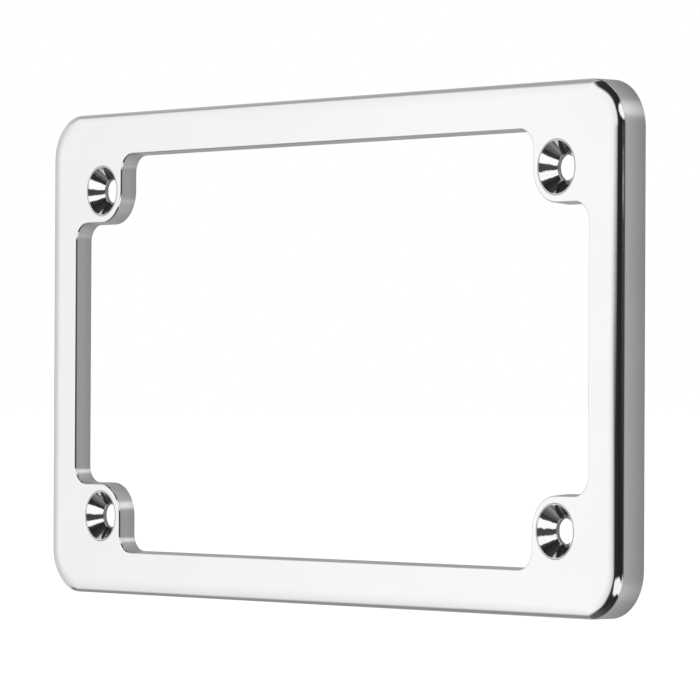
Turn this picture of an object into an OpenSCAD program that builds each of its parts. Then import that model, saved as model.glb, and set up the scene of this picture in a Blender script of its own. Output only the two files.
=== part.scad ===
// Motorcycle number plate frame: one solid, chromed all over.
// It stands upright, its front towards -Y and the flat back of its tabs on the plane y = 0.
// The origin is at the centre of the four screw holes on that plane; the rim reaches behind it.

/* [Screw holes] */
// Distance between the left and right screw holes
hole_span_x = 146.05; // [144:0.05:148]
// Distance between the upper and lower screw holes
hole_span_z = 69.85; // [68:0.05:70]
// Diameter of a screw hole
hole_d = 5; // [4.6:0.1:6]
// Diameter of a countersink at the front face
sink_d = 10.3; // [9.5:0.1:10.8]
// Full angle of a countersink
sink_angle = 90; // [82, 90, 100]

/* [Frame] */
// Width over the outer walls
frame_w = 182.8; // [178:0.1:190]
// Height over the outer walls
frame_h = 103; // [99:0.1:110]
// Depth of the outer walls, front to back
frame_depth = 6.3; // [5.8:0.1:8]
// Width of each of the four bars
bar_w = 9.25; // [8.5:0.05:10]
// Radius of the four outer corners, seen from the front
corner_r = 9.5; // [8:0.1:12]

/* [Front edges] */
// How far the rolled outer edge reaches in over the front face
roll_reach = 3.3; // [2:0.1:3.6]
// How far the rolled outer edge comes down the outer walls
roll_drop = 0.95; // [0.6:0.05:1.5]
// Radius that breaks the front edge of the window
window_break = 0.4; // [0.2:0.05:0.6]

/* [Screw tabs] */
// Radius of a tab's rounded corner, which is centred on its screw hole
tab_r = 7; // [6.5:0.1:7.5]
// Radius of the inner corners where a tab meets the bars
fillet_r = 3.6; // [2.5:0.1:4]

/* [Back] */
// Thickness of the bars and tabs in front of the recess
web_t = 3.85; // [3.7:0.05:4.5]
// Width of the rim around the recess
rim_w = 3.5; // [2:0.1:4]

/* [Hidden] */
$fn = 96;

window_w = frame_w - 2 * bar_w;
window_h = frame_h - 2 * bar_w;
hole_x = hole_span_x / 2;
hole_y = hole_span_z / 2;
tab_x = hole_x - tab_r;
tab_y = hole_y - tab_r;
roll_r = (roll_reach * roll_reach + roll_drop * roll_drop) / (2 * roll_drop);
sink_slope = tan(sink_angle / 2);
sink_depth = (sink_d - hole_d) / 2 / sink_slope;
recess_depth = frame_depth - web_t;
// How far a cut runs past the surface that it opens
over = 1;

// The frame is drawn lying on its back, its front up, and is stood up at the end.

// Rectangle about the origin with round corners
module round_rect(w, h, r) {
  square([w - 2 * r, h], center = true);
  square([w, h - 2 * r], center = true);
  for (sx = [-1, 1], sy = [-1, 1])
    translate([sx * (w / 2 - r), sy * (h / 2 - r)]) circle(r);
}

// A shape of the upper right quarter, in all four quarters
module in_quarters() {
  for (mx = [0, 1], my = [0, 1])
    mirror([mx, 0, 0]) mirror([0, my, 0]) children();
}

// An edge's section swept straight from (x, y), with the open side to the left of its path
module edge_line(x, y, direction, length) {
  translate([x, y, 0]) rotate([0, 0, direction])
    rotate([90, 0, 90]) linear_extrude(length) children();
}

// An edge's section swept through a quarter circle about (x, y), with the open side outwards
module edge_arc(x, y, start) {
  translate([x, y, 0]) rotate([0, 0, start]) rotate_extrude(angle = 90) children();
}

// What the rolled outer edge loses: the edge is at the origin, the open side is +X
module roll_section() {
  difference() {
    translate([-roll_reach, -roll_drop]) square([roll_reach + over, roll_drop + over]);
    translate([-roll_reach, -roll_r]) circle(roll_r);
  }
}

// What the broken edge of the window loses, drawn the same way
module break_section() {
  difference() {
    translate([-window_break, -window_break]) square(window_break + over);
    translate([-window_break, -window_break]) circle(window_break);
  }
}

// The rolled outer edge, in one quarter
module roll_quarter() {
  x = frame_w / 2 - corner_r;
  y = frame_h / 2 - corner_r;
  edge_line(0, frame_h / 2, 0, x) roll_section();
  edge_arc(x, y, 0) translate([corner_r, 0]) roll_section();
  edge_line(frame_w / 2, y, -90, y) roll_section();
}

// The broken edge of the window and of its tab, in one quarter
module break_quarter() {
  bar_x = tab_x - fillet_r;
  bar_y = window_h / 2 - fillet_r;
  side_x = window_w / 2 - fillet_r;
  side_y = tab_y - fillet_r;
  edge_line(bar_x, window_h / 2, 180, bar_x) break_section();
  edge_arc(bar_x, bar_y, 0) translate([fillet_r, 0]) mirror([1, 0]) break_section();
  edge_line(tab_x, hole_y, 90, bar_y - hole_y) break_section();
  edge_arc(hole_x, hole_y, 180) translate([tab_r, 0]) break_section();
  edge_line(side_x, tab_y, 180, side_x - hole_x) break_section();
  edge_arc(side_x, side_y, 0) translate([fillet_r, 0]) mirror([1, 0]) break_section();
  edge_line(window_w / 2, 0, 90, side_y) break_section();
}

// The window's outline: two crossed rectangles leave the four tabs, whose corners are then rounded
module window_outline() {
  round_rect(window_w, 2 * tab_y, fillet_r);
  round_rect(2 * tab_x, window_h, fillet_r);
  in_quarters() difference() {
    translate([tab_x - over, tab_y - over]) square(tab_r + over);
    translate([hole_x, hole_y]) circle(tab_r);
  }
}

// One screw hole with its countersink
module screw_hole() {
  translate([hole_x, hole_y, -over]) cylinder(h = frame_depth + 2 * over, d = hole_d);
  translate([hole_x, hole_y, frame_depth - sink_depth])
    cylinder(h = sink_depth + over, d1 = hole_d, d2 = sink_d + 2 * over * sink_slope);
}

module plate_frame() {
  color("gainsboro") rotate([90, 0, 0]) translate([0, 0, -recess_depth]) difference() {
    linear_extrude(frame_depth) round_rect(frame_w, frame_h, corner_r);
    translate([0, 0, frame_depth]) in_quarters() roll_quarter();
    translate([0, 0, frame_depth]) in_quarters() break_quarter();
    translate([0, 0, -over]) linear_extrude(frame_depth + 2 * over) window_outline();
    in_quarters() screw_hole();
    translate([0, 0, -over]) linear_extrude(recess_depth + over)
      round_rect(frame_w - 2 * rim_w, frame_h - 2 * rim_w, corner_r - rim_w);
  }
}

plate_frame();
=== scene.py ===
import math

import bmesh
import bpy
from mathutils import Matrix, Vector


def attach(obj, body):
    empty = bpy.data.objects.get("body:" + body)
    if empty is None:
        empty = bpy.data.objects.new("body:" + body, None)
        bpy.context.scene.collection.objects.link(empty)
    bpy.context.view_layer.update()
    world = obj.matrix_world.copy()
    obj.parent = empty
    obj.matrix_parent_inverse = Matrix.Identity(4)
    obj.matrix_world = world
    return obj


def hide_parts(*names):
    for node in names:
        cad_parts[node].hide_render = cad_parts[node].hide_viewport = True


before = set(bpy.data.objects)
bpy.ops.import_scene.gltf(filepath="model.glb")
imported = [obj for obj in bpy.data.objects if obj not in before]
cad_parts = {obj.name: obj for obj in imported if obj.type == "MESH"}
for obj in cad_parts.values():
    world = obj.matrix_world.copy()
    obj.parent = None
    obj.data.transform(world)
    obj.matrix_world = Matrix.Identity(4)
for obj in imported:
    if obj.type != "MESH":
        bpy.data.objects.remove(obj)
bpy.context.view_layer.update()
print("frame loaded")


def hexToLinear(code):
    # sRGB hex to the linear values that Blender's sockets take
    channels = [int(code[i:i + 2], 16) / 255 for i in (1, 3, 5)]
    linear = [c / 12.92 if c <= 0.04045 else ((c + 0.055) / 1.055) ** 2.4 for c in channels]
    return (*linear, 1.0)


def addNode(tree, kind, settings=None, links=None):
    # settings: attribute or socket -> value; links: socket -> the output that feeds it
    node = tree.nodes.new(kind)
    for name, value in (settings or {}).items():
        if isinstance(name, str) and hasattr(node, name):
            setattr(node, name, value)
        else:
            node.inputs[name].default_value = value
    for name, output in (links or {}).items():
        tree.links.new(output, node.inputs[name])
    return node


# lengths in mm: x across, z up, y from the front face back; the tabs' flat back is at y = 0
frameSizes = {
    "width": 182.8,
    "height": 103.0,
    "barWidth": 9.25,       # the upper and lower bars, at the back
    "sideBarWidth": 9.5,    # the left and right bars, at the back
    "windowDraft": 0.31,    # the window widens this much towards the front, to leave its mould
    "cornerRadius": 9.5,
    "frontY": -3.85,
    "tabBackY": 0.0,
    "rimBackY": 2.45,
    "rollReach": 3.3,       # the outer edge is rolled over this far in from the wall
    "rollDrop": 0.95,       # and this far down the wall
    "creaseRound": 0.32,    # where the roll meets the wall
    "windowBreak": 0.34,    # broken front edge of the window
    "backBreak": 0.07,      # edges at the back are only just broken
    "rimWidth": 3.5,        # the rim around the recess
    "recessRound": 0.5,     # the corner at the rim's foot
    "holeSpanX": 146.05,
    "holeSpanZ": 69.85,
    "holeDiameter": 5.0,
    "sinkDiameter": 10.3,
    "sinkRound": 0.2,       # where the front runs into a countersink
    "shadedRing": 0.26,       # width of the ring around it that is painted dark, standing in for the dark reflection of a rounded lip
    "boreRound": 0.3,       # where the countersink runs into the bore
    "boreBack": 0.4,        # the bore is deburred at the back
    "tabRadius": 7.15,      # about the screw hole, at the back
    "filletRadius": 3.6,    # where a tab meets the bars
    "frontStrip": 0.6,      # strips of flat swept with the edges, so that the flats stay even
    "backStrip": 0.3,
    "boreStrip": 0.8,
    "recessStrip": 1.0,
    "rollSteps": 18,        # how finely the curves are drawn
    "cornerSteps": 40,
    "filletSteps": 24,
    "holeSteps": 96,
    "seam": 2e-3,           # points closer together than this are one point
}


def wireProfile(bm, points):
    # a polyline drawn by extruding one vertex from point to point
    verts = [bm.verts.new(points[0])]
    for here, there in zip(points, points[1:]):
        grown = bmesh.ops.extrude_vert_indiv(bm, verts=[verts[-1]])
        bmesh.ops.translate(bm, verts=grown["verts"], vec=Vector(there) - Vector(here))
        verts.append(grown["verts"][0])
    return verts


def pointsOf(edges):
    # the vertices of these edges, each once and in their order
    return list(dict.fromkeys(v for e in edges for v in e.verts))


def roundCorner(bm, vert, radius, turn=90, segments=4):
    # turn is how far the profile turns at the vertex, in degrees
    bmesh.ops.bevel(bm, geom=[vert], offset=radius * math.tan(math.radians(turn) / 2),
                    offset_type="OFFSET", segments=segments, profile=0.5,
                    affect="VERTICES", material=-1, clamp_overlap=False)


def sweep(bm, edges, path):
    # carries a profile along straight runs and round turns, and returns where it ends
    for step in path:
        if step[0] == "run":
            grown = bmesh.ops.extrude_edge_only(bm, edges=edges)["geom"]
            verts = {g for g in grown if isinstance(g, bmesh.types.BMVert)}
            bmesh.ops.translate(bm, verts=list(verts), vec=step[1])
            edges = [g for g in grown
                     if isinstance(g, bmesh.types.BMEdge) and set(g.verts) <= verts]
        else:
            centre, axis, steps = step[1:]
            verts = pointsOf(edges)
            turned = bmesh.ops.spin(bm, geom=verts + edges, cent=(centre[0], 0, centre[1]),
                                    axis=axis, angle=math.radians(90), steps=steps,
                                    use_duplicate=False)
            edges = [g for g in turned["geom_last"] if isinstance(g, bmesh.types.BMEdge)]
    return edges


def fillFlat(bm, y, seam):
    # closes the flat at this depth between all the open loops that lie in it
    edges = [e for e in bm.edges
             if e.is_boundary and all(abs(v.co.y - y) < seam for v in e.verts)]
    bmesh.ops.triangle_fill(bm, edges=edges, use_beauty=True, use_dissolve=False,
                            normal=(0, -1, 0))


def newWires(bm, known):
    return [e for e in bm.edges if e not in known]


def buildFrame(s):
    bm = bmesh.new()
    wallX, wallZ = s["width"] / 2, s["height"] / 2
    cornerX, cornerZ = wallX - s["cornerRadius"], wallZ - s["cornerRadius"]
    front, tabBack, rimBack = s["frontY"], s["tabBackY"], s["rimBackY"]
    aboutUp, aboutDown = (0, -1, 0), (0, 1, 0)  # +x turns to +z, and +z to +x

    # outer profile, from the front flat over the roll and the wall to the floor of the recess
    reach, drop = s["rollReach"], s["rollDrop"]
    rollRadius = (reach ** 2 + drop ** 2) / (2 * drop)
    rollTurn = math.asin(reach / rollRadius)
    start = bm.verts.new((wallX - reach, front, cornerZ))
    rolled = bmesh.ops.spin(bm, geom=[start], cent=(wallX - reach, front + rollRadius, cornerZ),
                            axis=(0, 0, 1), angle=rollTurn, steps=s["rollSteps"])["geom_last"]
    crease = [g for g in rolled if isinstance(g, bmesh.types.BMVert)][0]
    corners = []
    end = crease
    rimX = wallX - s["rimWidth"]
    for x, y in ((wallX, rimBack), (rimX, rimBack), (rimX, tabBack),
                 (rimX - s["recessStrip"], tabBack)):
        grown = bmesh.ops.extrude_vert_indiv(bm, verts=[end])["verts"]
        bmesh.ops.translate(bm, verts=grown, vec=Vector((x, y, cornerZ)) - end.co)
        end = grown[0]
        corners.append(end)
    roundCorner(bm, crease, s["creaseRound"], turn=90 - math.degrees(rollTurn), segments=5)
    roundCorner(bm, corners[0], s["backBreak"])
    roundCorner(bm, corners[1], s["backBreak"])
    roundCorner(bm, corners[2], s["recessRound"])
    outer = list(bm.edges)
    top = sweep(bm, outer, [("turn", (cornerX, cornerZ), aboutUp, s["cornerSteps"])])
    sweep(bm, top, [("run", (-cornerX, 0, 0))])
    sweep(bm, outer, [("run", (0, 0, -cornerZ))])

    # window profile, from the front flat down the wall to the back
    windowX, windowZ = wallX - s["sideBarWidth"], wallZ - s["barWidth"]
    frontZ = windowZ + s["windowDraft"]
    holeX, holeZ = s["holeSpanX"] / 2, s["holeSpanZ"] / 2
    tabX, tabZ = holeX - s["tabRadius"], holeZ - s["tabRadius"]
    fillet = s["filletRadius"]
    known = set(bm.edges)
    verts = wireProfile(bm, [
        (0, front, frontZ + s["frontStrip"]), (0, front, frontZ),
        (0, tabBack, windowZ), (0, tabBack, windowZ + s["backStrip"])])
    roundCorner(bm, verts[1], s["windowBreak"], segments=6)
    roundCorner(bm, verts[2], s["backBreak"])
    sweep(bm, newWires(bm, known), [
        ("run", (tabX - fillet, 0, 0)),
        ("turn", (tabX - fillet, windowZ - fillet), aboutDown, s["filletSteps"]),
        ("run", (0, 0, holeZ - (windowZ - fillet))),
        ("turn", (holeX, holeZ), aboutUp, s["cornerSteps"]),
        ("run", (windowX - fillet - holeX, 0, 0)),
        ("turn", (windowX - fillet, tabZ - fillet), aboutDown, s["filletSteps"]),
        ("run", (0, 0, -(tabZ - fillet))),
    ])

    # screw hole with its countersink, whose wall leans by 45 degrees
    sinkRadius, boreRadius = s["sinkDiameter"] / 2, s["holeDiameter"] / 2
    sinkLean = 45
    roundedTo = sinkRadius + s["sinkRound"] * math.tan(math.radians(sinkLean) / 2)
    known = set(bm.edges)
    verts = wireProfile(bm, [(holeX + r, y, holeZ) for r, y in (
        (roundedTo + s["shadedRing"], front), (roundedTo, front), (sinkRadius, front),
        (boreRadius, front + sinkRadius - boreRadius), (boreRadius, tabBack),
        (boreRadius + s["boreStrip"], tabBack))])
    roundCorner(bm, verts[2], s["sinkRound"], turn=sinkLean, segments=6)
    roundCorner(bm, verts[3], s["boreRound"], turn=sinkLean, segments=5)
    roundCorner(bm, verts[4], s["boreBack"], segments=1)
    wires = newWires(bm, known)
    bmesh.ops.spin(bm, geom=pointsOf(wires) + wires, cent=(holeX, 0, holeZ), axis=(0, 1, 0),
                   angle=math.radians(360), steps=s["holeSteps"], use_merge=True,
                   use_duplicate=False)

    # the other three quarters, then the two flats
    for axis in ("X", "Z"):
        bmesh.ops.mirror(bm, geom=list(bm.verts) + list(bm.edges) + list(bm.faces),
                         matrix=Matrix.Identity(4), merge_dist=s["seam"], axis=axis)
    bmesh.ops.remove_doubles(bm, verts=list(bm.verts), dist=s["seam"])
    fillFlat(bm, front, s["seam"])
    fillFlat(bm, tabBack, s["seam"])
    bmesh.ops.recalc_face_normals(bm, faces=list(bm.faces))

    # what faces forwards was buffed bright, the countersinks were turned, and the rest is as
    # plated; the bores and a ring round each countersink get a dull finish with painted shade
    bright, satin, turned, dullShaded = range(4)
    buffedFrom, turnedFrom = 0.3, 0.1   # how far a face has to look forwards, 1 being straight
    for face in bm.faces:
        face.smooth = True
        middle = face.calc_center_median()
        fromHole = math.hypot(abs(middle.x) - holeX, abs(middle.z) - holeZ)
        face.material_index = bright if -face.normal.y > buffedFrom else satin
        if fromHole < roundedTo and middle.y < tabBack:
            face.material_index = turned if -face.normal.y > turnedFrom else dullShaded
        elif fromHole < roundedTo + s["shadedRing"] and middle.y < front + s["seam"]:
            face.material_index = dullShaded
    openEdges = sum(1 for e in bm.edges if not e.is_manifold)
    print("frame mesh:", len(bm.faces), "faces,", openEdges, "open edges")

    bmesh.ops.scale(bm, vec=(0.001, 0.001, 0.001), verts=list(bm.verts))  # mm to m
    mesh = bpy.data.meshes.new("chromedPlateFrame")
    bm.to_mesh(mesh)
    bm.free()
    piece = bpy.data.objects.new("chromedPlateFrame", mesh)
    bpy.context.scene.collection.objects.link(piece)
    weighted = piece.modifiers.new("evenNormals", "WEIGHTED_NORMAL")  # keeps the flats' mirror even
    weighted.mode = "FACE_AREA"
    weighted.keep_sharp = True
    return piece


plateFrame = buildFrame(frameSizes)


# chrome over zinc: a neutral mirror where it was buffed and softer where it was not, greyed with
# painted shade towards the back, in the bores and at the countersinks' rims
chromeLook = {
    "colour": "#e7e7e7",
    "hazeColour": "#e2e2e2",        # where buffing left a faint haze
    "backShadeColour": "#bebebe",        # painted shade: the walls' colour greys towards the back, standing in for their reflection dimming
    "boreShadeColour": "#909090",        # painted shade, darker still, in the bores and on a ring at the countersinks' rims
    "brightRoughness": (0.02, 0.05),
    "satinRoughness": (0.2, 0.28),
    "turnedRoughness": (0.04, 0.1),
    "thinRoughness": (0.3, 0.4),
    "hazeShare": (0.35, 0.7),       # the noise's values between which haze sets in
    "blotchShare": (0.3, 0.7),      # and the same for the satin and the thin plating
    "backShadeStart": -1.5,          # mm from the tabs' back, where the painted shade towards the back starts
    "backShadeEnd": 3.1,             # mm
    "backShadeUneven": 1.2,          # mm
    "hazeSize": 14.0,               # mm, patches left by the buffing wheel
    "rippleSize": 5.0,              # mm, orange peel of the cast metal under the plating
    "rippleHeight": 0.008,          # mm
    "grainSize": 0.45,              # mm, blasted grain; really about 0.1 mm, drawn coarser to show
    "grainHeight": 0.0025,          # mm
    "grooveStep": 0.3,              # mm, rings of the countersink tool; really about 0.08 mm
    "grooveHeight": 0.0003,         # mm
    "chatterSize": 1.8,             # mm, waves that the tool's chatter left
    "chatterHeight": 0.045,         # mm
    "blotchSize": 1.8,              # mm, patches of the thin plating
}


def startMaterial(name, metallic):
    material = bpy.data.materials.new(name)
    material.use_nodes = True
    tree = material.node_tree
    shader = tree.nodes["Principled BSDF"]
    shader.inputs["Metallic"].default_value = metallic
    place = addNode(tree, "ShaderNodeTexCoord").outputs["Object"]
    return material, tree, shader, place


def linkFinish(tree, shader, finish):
    # finish: the shader's socket -> the output that feeds it
    for socket, output in finish.items():
        tree.links.new(output, shader.inputs[socket])


def chromeBright(look):
    # buffed chrome plate: a clear mirror with faint haze and the softest ripple
    material, tree, shader, place = startMaterial("chromeBuffedBright", 1.0)
    haze = addNode(tree, "ShaderNodeTexNoise", {"Scale": 1000 / look["hazeSize"], "Detail": 4.0},
                   {"Vector": place}).outputs["Fac"]
    colour = addNode(tree, "ShaderNodeMix",
                     {"data_type": "RGBA", 6: hexToLinear(look["colour"]),
                      7: hexToLinear(look["hazeColour"])}, {0: haze})
    (least, most), (low, high) = look["hazeShare"], look["brightRoughness"]
    roughness = addNode(tree, "ShaderNodeMapRange",
                        {"From Min": least, "From Max": most, "To Min": low, "To Max": high},
                        {"Value": haze})
    ripple = addNode(tree, "ShaderNodeTexNoise",
                     {"Scale": 1000 / look["rippleSize"], "Detail": 2.0}, {"Vector": place})
    bump = addNode(tree, "ShaderNodeBump",
                   {"Strength": 1.0, "Distance": look["rippleHeight"] / 1000},
                   {"Height": ripple.outputs["Fac"]})
    linkFinish(tree, shader, {"Base Color": colour.outputs[2],
                              "Roughness": roughness.outputs["Result"],
                              "Normal": bump.outputs["Normal"]})
    return material


def chromeSatin(look):
    # chrome plate on blasted walls: a soft grey sheen with fine grain, its colour darkened towards
    # the back as painted shade
    material, tree, shader, place = startMaterial("chromeSatinWalls", 1.0)
    depth = addNode(tree, "ShaderNodeSeparateXYZ", links={0: place}).outputs["Y"]
    cloud = addNode(tree, "ShaderNodeTexNoise", {"Scale": 1000 / look["hazeSize"], "Detail": 5.0},
                    {"Vector": place}).outputs["Fac"]
    uneven = addNode(tree, "ShaderNodeMath",
                     {"operation": "MULTIPLY_ADD", 1: look["backShadeUneven"] / 1000},
                     {0: cloud, 2: depth})
    # painted shade: the colour darkens from the front towards the back, a little unevenly
    backShading = addNode(tree, "ShaderNodeMapRange",
                       {"From Min": look["backShadeStart"] / 1000,
                        "From Max": look["backShadeEnd"] / 1000}, {"Value": uneven.outputs[0]})
    colour = addNode(tree, "ShaderNodeMix",
                     {"data_type": "RGBA", 6: hexToLinear(look["colour"]),
                      7: hexToLinear(look["backShadeColour"])}, {0: backShading.outputs["Result"]})
    (least, most), (low, high) = look["blotchShare"], look["satinRoughness"]
    roughness = addNode(tree, "ShaderNodeMapRange",
                        {"From Min": least, "From Max": most, "To Min": low, "To Max": high},
                        {"Value": cloud})
    grain = addNode(tree, "ShaderNodeTexNoise",
                    {"Scale": 1000 / look["grainSize"], "Detail": 2.0}, {"Vector": place})
    bump = addNode(tree, "ShaderNodeBump",
                   {"Strength": 1.0, "Distance": look["grainHeight"] / 1000},
                   {"Height": grain.outputs["Fac"]})
    linkFinish(tree, shader, {"Base Color": colour.outputs[2],
                              "Roughness": roughness.outputs["Result"],
                              "Normal": bump.outputs["Normal"]})
    return material


def chromeTurned(look, s):
    # chrome plate on turned metal: a mirror broken by the tool's rings, with edges that waver
    material, tree, shader, place = startMaterial("chromeTurnedSinks", 1.0)
    axes = addNode(tree, "ShaderNodeSeparateXYZ", links={0: place})
    fromHole = []
    for axis, span in (("X", s["holeSpanX"]), ("Z", s["holeSpanZ"])):
        side = addNode(tree, "ShaderNodeMath", {"operation": "ABSOLUTE"}, {0: axes.outputs[axis]})
        fromHole.append(addNode(tree, "ShaderNodeMath",
                                {"operation": "SUBTRACT", 1: span / 2 / 1000},
                                {0: side.outputs[0]}).outputs[0])
    plan = addNode(tree, "ShaderNodeCombineXYZ", links={"X": fromHole[0], "Y": fromHole[1]})
    radius = addNode(tree, "ShaderNodeVectorMath", {"operation": "LENGTH"}, {0: plan.outputs[0]})
    chatter = addNode(tree, "ShaderNodeTexNoise",
                      {"Scale": 1000 / look["chatterSize"], "Detail": 1.5},
                      {"Vector": place}).outputs["Fac"]
    turns = addNode(tree, "ShaderNodeMath",
                    {"operation": "MULTIPLY_ADD", 1: 2 * math.pi * 1000 / look["grooveStep"]},
                    {0: radius.outputs["Value"], 2: chatter})
    groove = addNode(tree, "ShaderNodeMath", {"operation": "SINE"}, {0: turns.outputs[0]})
    low, high = look["turnedRoughness"]
    roughness = addNode(tree, "ShaderNodeMapRange",
                        {"From Min": -1.0, "From Max": 1.0, "To Min": low, "To Max": high},
                        {"Value": groove.outputs[0]})
    waves = addNode(tree, "ShaderNodeBump",
                    {"Strength": 1.0, "Distance": look["chatterHeight"] / 1000},
                    {"Height": chatter})
    bump = addNode(tree, "ShaderNodeBump",
                   {"Strength": 1.0, "Distance": look["grooveHeight"] / 1000},
                   {"Height": groove.outputs[0], "Normal": waves.outputs["Normal"]})
    shader.inputs["Base Color"].default_value = hexToLinear(look["colour"])
    linkFinish(tree, shader, {"Roughness": roughness.outputs["Result"],
                              "Normal": bump.outputs["Normal"]})
    return material


def chromeDullShaded(look):
    # dull chrome whose grey colour is painted shade, standing for the shade in the bores and the
    # dark reflection at the countersinks' rims, with a blotchy grain
    material, tree, shader, place = startMaterial("chromeDullShadedBores", 1.0)
    blotch = addNode(tree, "ShaderNodeTexNoise",
                     {"Scale": 1000 / look["blotchSize"], "Detail": 4.0},
                     {"Vector": place}).outputs["Fac"]
    # painted shade: two greys, mottled by the noise
    colour = addNode(tree, "ShaderNodeMix",
                     {"data_type": "RGBA", 6: hexToLinear(look["boreShadeColour"]),
                      7: hexToLinear(look["backShadeColour"])}, {0: blotch})
    (least, most), (low, high) = look["blotchShare"], look["thinRoughness"]
    roughness = addNode(tree, "ShaderNodeMapRange",
                        {"From Min": least, "From Max": most, "To Min": low, "To Max": high},
                        {"Value": blotch})
    bump = addNode(tree, "ShaderNodeBump",
                   {"Strength": 1.0, "Distance": look["grainHeight"] / 1000}, {"Height": blotch})
    linkFinish(tree, shader, {"Base Color": colour.outputs[2],
                              "Roughness": roughness.outputs["Result"],
                              "Normal": bump.outputs["Normal"]})
    return material


# in the order of the frame's material numbers
for finish in (chromeBright(chromeLook), chromeSatin(chromeLook),
               chromeTurned(chromeLook, frameSizes), chromeDullShaded(chromeLook)):
    plateFrame.data.materials.append(finish)
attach(plateFrame, "root")
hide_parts("plate_frame")
print("frame built and finished")

# camera at the photograph's viewing angle
cameraView = {
    "aim": (0.002941, 0.002868, 0.000318),  # m
    "azimuth": 50.524,      # degrees, 0 looks along +y
    "elevation": -0.670,    # degrees
    "roll": 0.269,          # degrees
    "distance": 0.98159,    # m
    "lens": 247.82,         # mm
    "sensor": 36.0,         # mm
    "clip": (0.05, 200),    # m
}


def addCamera(v):
    azimuth, elevation = math.radians(v["azimuth"]), math.radians(v["elevation"])
    back = Vector((math.sin(azimuth) * math.cos(elevation),
                   -math.cos(azimuth) * math.cos(elevation), math.sin(elevation)))
    data = bpy.data.cameras.new("photoCamera")
    data.lens = v["lens"]
    data.sensor_width = v["sensor"]
    data.clip_start, data.clip_end = v["clip"]
    camera = bpy.data.objects.new("photoCamera", data)
    camera.location = Vector(v["aim"]) + back * v["distance"]
    level = back.to_track_quat("Z", "Y").to_matrix().to_4x4()
    camera.rotation_euler = (level @ Matrix.Rotation(math.radians(v["roll"]), 4, "Z")).to_euler()
    bpy.context.scene.collection.objects.link(camera)
    bpy.context.scene.camera = camera
    bpy.context.view_layer.update()


addCamera(cameraView)
print("camera placed")

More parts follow.
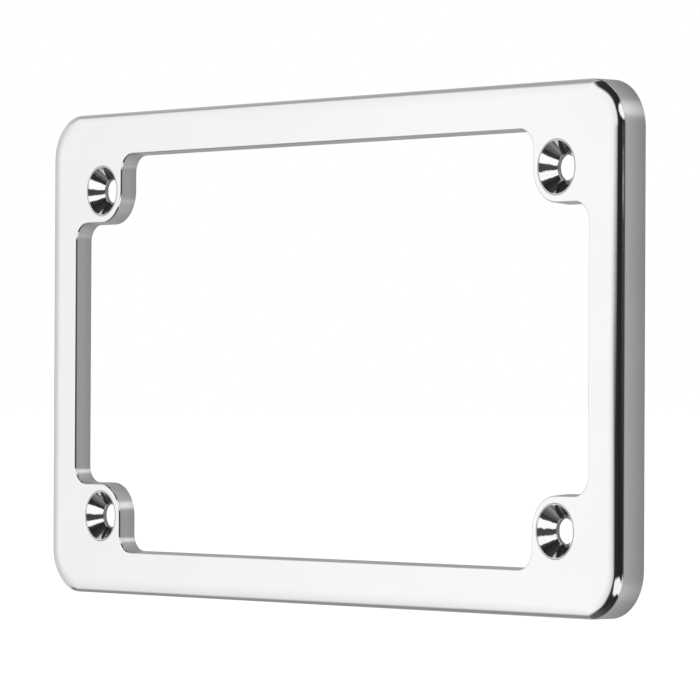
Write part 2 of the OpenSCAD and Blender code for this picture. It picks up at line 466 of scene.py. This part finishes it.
# What the metal mirrors: softboxes and lamps in an unlit studio, and the white backdrop that the
# camera looks towards. Directions are in degrees: azimuth 0 lies in front of the frame and 90 to
# its right, and elevation is upwards. Levels are (azimuth, level) stops. A panel is made of one or
# more outlines without hollow corners, and its edge fades over "soft" degrees to either side.
studio = {
    "unlit": [(-180, 0.4), (-150, 0.36), (-130, 0.38), (-119, 0.36), (-112, 0.12), (-100, 0.05),
              (-60, 0.05), (-36, 0.034), (-20, 0.03), (-12, 0.03), (0, 0.02), (6, 0.022),
              (13, 0.025), (30, 0.06), (40, 0.07), (75, 0.1), (105, 0.35), (122, 0.385),
              (136, 0.46), (150, 0.45), (180, 0.4)],
    "panels": [
        {"name": "leftSoftbox", "soft": 4,
         "levels": [(-112, 0.78), (-96, 0.755), (-86, 0.7), (-78, 0.8), (-59, 1.02), (-49, 1.21),
                    (-42, 1.12), (-36, 1.04), (-29, 0.92), (-20, 0.8), (-14, 0.72)],
         "outlines": [
             [(-80, -18), (-66, -31), (-57, -33), (-46, -29), (-36, -26), (-30, -22), (-24, -14),
              (-21, -6), (-20, -1.8), (-36, 7), (-80, 7)],
             [(-80, -8), (-27, -8), (-27, 24), (-44, 29), (-58, 33), (-65, 33), (-70, 28),
              (-80, 20)],
             [(-106, -23.5), (-74, -24.5), (-74, 22), (-106, 22)],
             [(-62, 20), (-46, 20), (-46, 30), (-57, 36.5), (-60, 33)]]},
        {"name": "upperGlow", "soft": 3, "levels": [(-70, 0.92), (-61, 1.1), (-50, 1.17)],
         "outlines": [[(-70, 8), (-44, 8), (-44, 29), (-60, 32), (-65, 32), (-70, 27)]]},
        {"name": "lowerGlow", "soft": 4, "levels": [(-66, 0.93), (-60, 1.03), (-50, 1.15)],
         "outlines": [[(-68, -28), (-44, -28), (-44, -8), (-68, -8)]]},
        {"name": "softboxLobe", "soft": 4,
         "levels": [(-60, 0.99), (-48, 1.19), (-36, 1.16), (-24, 1.08), (-14, 1.0)],
         "outlines": [[(-48, -4), (-24, 1), (-14, 3), (-11.8, 6), (-11.5, 9), (-12.5, 14),
                       (-15, 19.5), (-19, 24.5), (-27, 27), (-48, 28)]]},
        {"name": "upperLeft", "soft": 3,
         "levels": [(-100, 0.6), (-84, 0.7), (-72, 0.55), (-66, 0.44), (-56, 0.6)],
         "outlines": [[(-110, 18), (-74, 18), (-59, 31), (-45, 53), (-52, 56), (-84, 51),
                       (-110, 50)]]},
        {"name": "lowerLeft", "soft": 3,
         "levels": [(-84, 0.8), (-72, 0.72), (-66, 0.68), (-55, 0.46), (-46, 0.44)],
         "outlines": [[(-110, -48), (-84, -50), (-72, -55), (-46, -58), (-44, -54), (-56, -50),
                       (-68, -42), (-110, -37)]]},
        {"name": "lowerBand", "soft": 3, "levels": [(-75, 0.36), (-60, 0.3)],
         "outlines": [[(-110, -42), (-60, -42), (-60, -30), (-110, -20)]]},
        {"name": "underGlow", "soft": 5,
         "levels": [(-60, 0.13), (-45, 0.12), (-36, 0.09), (-28, 0.06), (-12, 0.038), (0, 0.03),
                    (12, 0.03)],
         "outlines": [[(-70, -58), (15, -58), (15, -30), (-70, -30)]]},
        {"name": "gapGlow", "soft": 3, "levels": [(0, 0.03), (12, 0.07), (30, 0.09)],
         "outlines": [[(4, -1), (34, -1), (34, 9), (4, 9)]]},
        {"name": "lampSlit", "soft": 0.4, "levels": [(0, 0.4)],
         "outlines": [[(8, 2.4), (17, 2.4), (17, 2.95), (8, 2.95)]]},
        {"name": "upperLamp", "soft": 2, "levels": [(6, 1.15), (18, 1.22)],
         "outlines": [
             [(-4, 18), (0, 14.8), (8, 12), (20, 10), (29, 13), (29, 38.5), (24, 37), (6, 31),
              (0, 27), (-3, 23.5)],
             [(25, 15), (37, 20), (37, 49), (30, 47), (25, 38)],
             [(35, 21), (42, 15), (60, 15), (60, 54), (37, 50)]]},
        {"name": "lowerLamp", "soft": 2, "levels": [(6, 1.15), (18, 1.22)],
         "outlines": [
             [(-15, -10), (-14.5, -20), (-8, -26), (8, -26), (8, -12.3), (2, -8.2), (-12.5, -8.2)],
             [(1, -14), (1, -26.5), (18, -37), (36, -45), (36, -15), (12, -15)],
             [(11, -17), (11, -22), (30, -42.5), (46, -50), (60, -54), (60, -27), (42, -11.5),
              (36, -7), (32, -5.9), (19, -10.3)]]},
        # these two brighten the front where it is seen from the left
        {"name": "upperSide", "soft": 6, "levels": [(0, 0.75)],
         "outlines": [[(58, 18), (104, 18), (104, 50), (58, 50)]]},
        {"name": "lowerSide", "soft": 6, "levels": [(0, 0.7)],
         "outlines": [[(58, -48), (104, -48), (104, -17), (58, -17)]]},
        {"name": "floorBelow", "soft": 4,
         "levels": [(-60, 0.28), (-48, 0.29), (-36, 0.22), (-24, 0.17), (-12, 0.14), (0, 0.12),
                    (12, 0.09)],
         "outlines": [[(-200, -100), (200, -100), (200, -55), (-200, -55)]]},
        {"name": "overhead", "soft": 4, "levels": [(0, 0.8)],
         "outlines": [[(-200, 75), (200, 75), (200, 100), (-200, 100)]]},
        {"name": "rearLamp", "soft": 4,
         "levels": [(120, 0.98), (131, 1.06), (141, 0.92), (150, 0.85), (160, 0.75)],
         "outlines": [[(110, 20), (152, 22), (162, 34), (162, 48), (150, 46), (110, 43)]]},
        {"name": "rearLampLow", "soft": 5, "levels": [(0, 0.57)],
         "outlines": [[(110, -36), (150, -49), (166, -51), (168, -42), (152, -22), (110, -22)]]},
        {"name": "rearSoftbox", "soft": 6, "levels": [(0, 0.8)],
         "outlines": [[(166, -24), (205, -24), (205, 12), (166, 12)],
                      [(-205, -24), (-164, -24), (-164, 12), (-205, 12)]]},
        {"name": "backdrop", "soft": 2, "levels": [(0, 1.0)],
         "outlines": [[(-140, -6), (-118, -6), (-118, 6), (-140, 6)]]},
    ],
    "backdrop": 1.0,    # the white that the camera sees
    "ambient": 0.62,    # what matt surfaces get from all round; the sun gives the rest
    "sunTurn": -40,     # degrees, from in front towards the right
    "sunHeight": 48,    # degrees
    "sunSpread": 6,     # degrees, for a soft shadow
    "sunLight": 1.6,
}
paleFloor = {
    "height": -0.12,        # m, below the hanging frame
    "reach": 60.0,          # m, from its middle to its edges
    "colour": "#efefef",
    "mottle": 0.985,        # the paper's darker patches, as a share of its colour
    "paperGrain": 3.0,      # mm, mottling of the paper roll
    "lift": 0.2,            # added for the eye alone, so that the floor meets the white backdrop
}


def levelAlong(tree, share, stops):
    # share is the azimuth from -180 to 180 degrees, run from 0 to 1
    ramp = addNode(tree, "ShaderNodeValToRGB", links={"Fac": share})
    elements = ramp.color_ramp.elements
    elements.remove(elements[1])
    elements[0].position = stops[0][0] / 360 + 0.5
    elements[0].color = (stops[0][1],) * 3 + (1,)
    for azimuth, level in stops[1:]:
        elements.new(azimuth / 360 + 0.5).color = (level,) * 3 + (1,)
    return ramp.outputs["Color"]


def pick(tree, which, outputs):
    # which is MINIMUM or MAXIMUM, over any number of outputs
    chosen = outputs[0]
    for output in outputs[1:]:
        chosen = addNode(tree, "ShaderNodeMath", {"operation": which},
                         {0: chosen, 1: output}).outputs[0]
    return chosen


def addPanel(tree, azimuth, elevation, share, panel):
    # how deep a direction lies inside an outline, in degrees, is the least over its edges, and
    # inside the panel it is the most over its outlines
    depths = []
    for corners in panel["outlines"]:
        edges = []
        for here, there in zip(corners, corners[1:] + corners[:1]):
            along = (Vector(there) - Vector(here)).normalized()
            inward = Vector((-along.y, along.x))
            if sum(inward.dot(Vector(c) - Vector(here)) for c in corners) < 0:
                inward = -inward
            across = addNode(tree, "ShaderNodeMath",
                             {"operation": "MULTIPLY_ADD", 1: inward.x,
                              2: -inward.dot(Vector(here))}, {0: azimuth})
            edges.append(addNode(tree, "ShaderNodeMath",
                                 {"operation": "MULTIPLY_ADD", 1: inward.y},
                                 {0: elevation, 2: across.outputs[0]}).outputs[0])
        depths.append(pick(tree, "MINIMUM", edges))
    mask = addNode(tree, "ShaderNodeMapRange",
                   {"interpolation_type": "SMOOTHSTEP", "From Min": -panel["soft"],
                    "From Max": panel["soft"]}, {"Value": pick(tree, "MAXIMUM", depths)})
    return addNode(tree, "ShaderNodeMath", {"operation": "MULTIPLY"},
                   {0: mask.outputs["Result"],
                    1: levelAlong(tree, share, panel["levels"])}).outputs[0]


def addStudioWorld(s):
    world = bpy.data.worlds.new("studio")
    bpy.context.scene.world = world
    world.use_nodes = True
    world.cycles.sampling_method = "NONE"  # the studio is found by the mirror rays themselves
    tree = world.node_tree
    tree.nodes.clear()
    place = addNode(tree, "ShaderNodeTexCoord")
    axes = addNode(tree, "ShaderNodeSeparateXYZ", links={0: place.outputs["Generated"]})
    ahead = addNode(tree, "ShaderNodeMath", {"operation": "MULTIPLY", 1: -1.0},
                    {0: axes.outputs["Y"]})
    turn = addNode(tree, "ShaderNodeMath", {"operation": "ARCTAN2"},
                   {0: axes.outputs["X"], 1: ahead.outputs[0]})
    azimuth = addNode(tree, "ShaderNodeMath", {"operation": "DEGREES"},
                      {0: turn.outputs[0]}).outputs[0]
    share = addNode(tree, "ShaderNodeMath", {"operation": "MULTIPLY_ADD", 1: 1 / 360, 2: 0.5},
                    {0: azimuth}).outputs[0]
    rise = addNode(tree, "ShaderNodeMath", {"operation": "ARCSINE"}, {0: axes.outputs["Z"]})
    elevation = addNode(tree, "ShaderNodeMath", {"operation": "DEGREES"},
                        {0: rise.outputs[0]}).outputs[0]
    levels = [levelAlong(tree, share, s["unlit"])]
    levels += [addPanel(tree, azimuth, elevation, share, panel) for panel in s["panels"]]
    white = (1, 1, 1, 1)
    mirrored = addNode(tree, "ShaderNodeBackground", {"Color": white},
                       {"Strength": pick(tree, "MAXIMUM", levels)})
    backdrop = addNode(tree, "ShaderNodeBackground", {"Color": white, "Strength": s["backdrop"]})
    ambient = addNode(tree, "ShaderNodeBackground", {"Color": white, "Strength": s["ambient"]})
    rays = addNode(tree, "ShaderNodeLightPath").outputs
    seen = pick(tree, "MAXIMUM", [rays["Is Camera Ray"], rays["Is Transmission Ray"]])
    plain = addNode(tree, "ShaderNodeMixShader",
                    links={0: seen, 1: ambient.outputs[0], 2: backdrop.outputs[0]})
    both = addNode(tree, "ShaderNodeMixShader",
                   links={0: rays["Is Glossy Ray"], 1: plain.outputs[0], 2: mirrored.outputs[0]})
    addNode(tree, "ShaderNodeOutputWorld", links={"Surface": both.outputs[0]})


def addSun(s):
    data = bpy.data.lights.new("softSun", "SUN")
    data.energy = s["sunLight"]
    data.angle = math.radians(s["sunSpread"])
    sun = bpy.data.objects.new("softSun", data)
    turn, height = math.radians(s["sunTurn"]), math.radians(s["sunHeight"])
    towards = Vector((math.sin(turn) * math.cos(height), -math.cos(turn) * math.cos(height),
                      math.sin(height)))
    sun.rotation_euler = towards.to_track_quat("Z", "Y").to_euler()
    sun.visible_glossy = False  # the metal is lit by the softboxes it mirrors
    bpy.context.scene.collection.objects.link(sun)


def paperMaterial(f):
    # matt paper roll: pale and even, with the faintest mottling
    material, tree, shader, place = startMaterial("paperMattRolled", 0.0)
    shader.inputs["Roughness"].default_value = 1.0
    shader.inputs["Specular IOR Level"].default_value = 0.0
    shader.inputs["Emission Color"].default_value = (1, 1, 1, 1)
    mottle = addNode(tree, "ShaderNodeTexNoise", {"Scale": 1000 / f["paperGrain"], "Detail": 2.0},
                     {"Vector": place})
    pale = hexToLinear(f["colour"])
    tint = addNode(tree, "ShaderNodeMix",
                   {"data_type": "RGBA", 6: pale, 7: (*(c * f["mottle"] for c in pale[:3]), 1)},
                   {0: mottle.outputs["Fac"]})
    rays = addNode(tree, "ShaderNodeLightPath").outputs
    seen = pick(tree, "MAXIMUM", [rays["Is Camera Ray"], rays["Is Transmission Ray"],
                                  rays["Is Glossy Ray"]])
    lift = addNode(tree, "ShaderNodeMath", {"operation": "MULTIPLY", 1: f["lift"]}, {0: seen})
    linkFinish(tree, shader, {"Base Color": tint.outputs[2],
                              "Emission Strength": lift.outputs[0]})
    return material


def buildFloor(f):
    bm = bmesh.new()
    bmesh.ops.create_grid(bm, x_segments=8, y_segments=8, size=f["reach"])
    bmesh.ops.translate(bm, verts=list(bm.verts), vec=(0, 0, f["height"]))
    mesh = bpy.data.meshes.new("paleFloor")
    bm.to_mesh(mesh)
    bm.free()
    floor = bpy.data.objects.new("paleFloor", mesh)
    floor.data.materials.append(paperMaterial(f))
    floor.visible_glossy = False  # the metal finds the floor in the mirrored studio
    bpy.context.scene.collection.objects.link(floor)


addStudioWorld(studio)
addSun(studio)
buildFloor(paleFloor)
bpy.context.scene.view_settings.view_transform = "Standard"
print("studio and floor ready")
